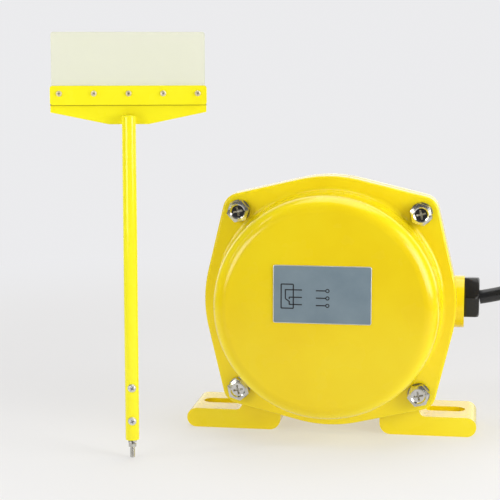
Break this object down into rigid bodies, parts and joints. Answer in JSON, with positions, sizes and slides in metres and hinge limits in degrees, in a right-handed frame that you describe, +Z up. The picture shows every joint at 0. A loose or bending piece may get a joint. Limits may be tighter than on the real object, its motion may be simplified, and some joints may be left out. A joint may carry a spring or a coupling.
{
  "type": "material flow switch",
  "caption": "Footed round cast-metal housing with a domed cover, side cable gland, rear lever and micro switch; its upright paddle arm stands apart and screws into the lever.",
  "frame": {"origin": "midpoint between the two foot slots, on the plane that the feet stand on", "axes": "+X towards the cable gland, -Y towards the domed cover (front), +Z up"},
  "size_m": [0.4384, 0.2025, 0.2454],
  "materials": {
    "yellow_paint": "gloss enamel on cast and sheet metal",
    "zinc": "bright zinc plate",
    "steel": "ground steel",
    "spring_steel": "oiled spring steel",
    "bronze": "sintered bronze",
    "black_rubber": "matt",
    "gasket_rubber": "matt",
    "gland_black": "moulded",
    "cable_black": "smooth jacket",
    "plate_metal": "anodised blue-grey",
    "switch_case": "moulded",
    "paddle_sheet": "translucent flexible sheet",
    "red_core": "insulation",
    "blue_core": "insulation",
    "green_core": "insulation",
    "copper": "bare stranded copper"
  },
  "bodies": {
    "housing": {"casing": "yellow_paint", "cover": "yellow_paint", "cover_gasket": "gasket_rubber", "cover_screws": "zinc", "cover_spring_washers": "zinc", "nameplate": "plate_metal", "front_bush": "bronze", "rear_bush": "bronze", "shaft_seal": "black_rubber", "stop_pin": "steel", "spring_anchor_pin": "steel", "return_spring": "spring_steel", "switch_body": "switch_case", "switch_screws": "zinc", "switch_terminals": "bronze", "gland_washer": "zinc", "gland_seal": "black_rubber", "gland_nut": "gland_black", "cable_inside": "cable_black", "core_red": "red_core", "core_blue": "blue_core", "core_green": "green_core", "cable": "cable_black", "cable_coil": "cable_black", "cable_tail": "cable_black", "coil_tie": "gland_black", "end_cores": "red_core", "end_tips": "copper"},
    "swing": {"shaft": "steel", "shaft_ring": "spring_steel", "swing_lever": "zinc", "lever_washer": "zinc", "lever_nut": "zinc", "cam": "steel", "cam_set_screw": "spring_steel", "cam_driver_pin": "steel"},
    "plunger": {"switch_plunger": "switch_case", "roller_pin": "steel"},
    "roller": {"switch_roller": "steel"},
    "arm": {"arm_tube": "yellow_paint", "arm_stud_bar": "zinc", "arm_lock_nut": "zinc", "arm_washer": "zinc", "arm_cross_screws": "zinc", "head_plate": "yellow_paint", "clamp_strip": "yellow_paint", "paddle": "paddle_sheet", "arm_weld": "yellow_paint", "clamp_screws": "zinc", "clamp_nuts": "zinc"}
  },
  "joints": [
    {"name": "shaft_swing", "type": "hinge", "parent": "housing", "child": "swing", "pos_m": [0, 0.05, 0.0835], "axis": [0, 1, 0], "range_deg": [0, 60], "stiffness_Nm_per_rad": 0.6, "springref_deg": -20.05, "deforming": ["return_spring"]},
    {"name": "plunger_press", "type": "slide", "parent": "housing", "child": "plunger", "axis": [0, 0, -1], "range_m": [0, 0.0026]},
    {"name": "roller_spin", "type": "hinge", "parent": "plunger", "child": "roller", "pos_m": [0, 0.004, 0.0606], "axis": [0, 1, 0], "continuous": true},
    {"name": "arm_lift", "type": "slide", "parent": "housing", "child": "arm", "axis": [0, 0, 1], "range_m": [0, 0.2]}
  ],
  "couplings": [
    {"joint": "plunger_press", "follows": "shaft_swing", "m_per_rad": 0.0023873}
  ]
}
